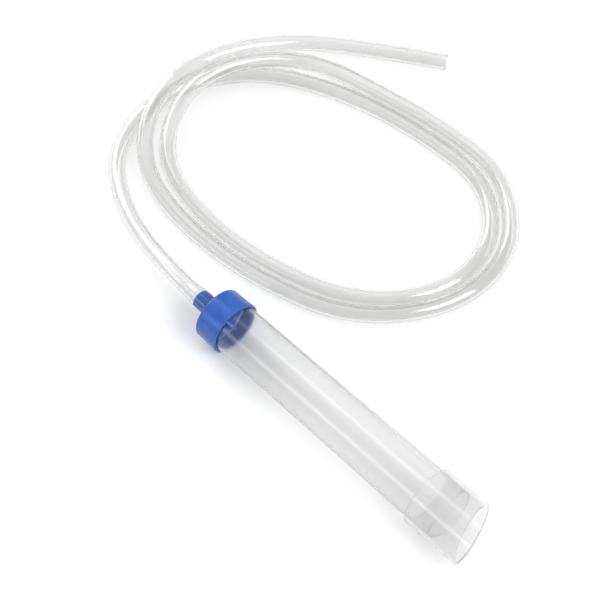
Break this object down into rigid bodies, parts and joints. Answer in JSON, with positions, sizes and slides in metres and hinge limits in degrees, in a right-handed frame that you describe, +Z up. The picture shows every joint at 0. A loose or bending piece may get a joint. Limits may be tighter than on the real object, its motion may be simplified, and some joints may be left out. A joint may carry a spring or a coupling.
{
  "type": "gravel vacuum siphon",
  "caption": "Gravel vacuum siphon: clear rigid tube with a slanted mouth sleeve, blue push-on cap with a gravel guard, and a long clear flexible hose in loose loops.",
  "frame": {"origin": "on the surface the siphon lies on, under the middle of the rigid part (cap, tube and sleeve)", "axes": "+X along the gravel tube from the cap towards the mouth, +Y towards the hose's loops, +Z up"},
  "size_m": [0.4531, 0.3243, 0.0461],
  "materials": {
    "cap_blue": "glossy opaque blue moulded plastic",
    "guard_blue": "glossy blue moulded plastic",
    "tube_clear": "clear rigid moulded plastic",
    "sleeve_clear": "clear plastic, slightly hazy",
    "hose_clear": "clear flexible vinyl"
  },
  "bodies": {
    "head": {"head_cap": "cap_blue", "gravel_guard": "guard_blue", "hose": "hose_clear"},
    "tube": {"gravel_tube": "tube_clear"},
    "sleeve": {"mouth_sleeve": "sleeve_clear"}
  },
  "joints": [
    {"name": "tube_pull", "type": "slide", "parent": "head", "child": "tube", "axis": [1, 0, 0], "range_m": [0, 0.018]},
    {"name": "sleeve_turn", "type": "hinge", "parent": "tube", "child": "sleeve", "pos_m": [0.105, 0, 0.02303], "axis": [1, 0, 0], "continuous": true}
  ]
}
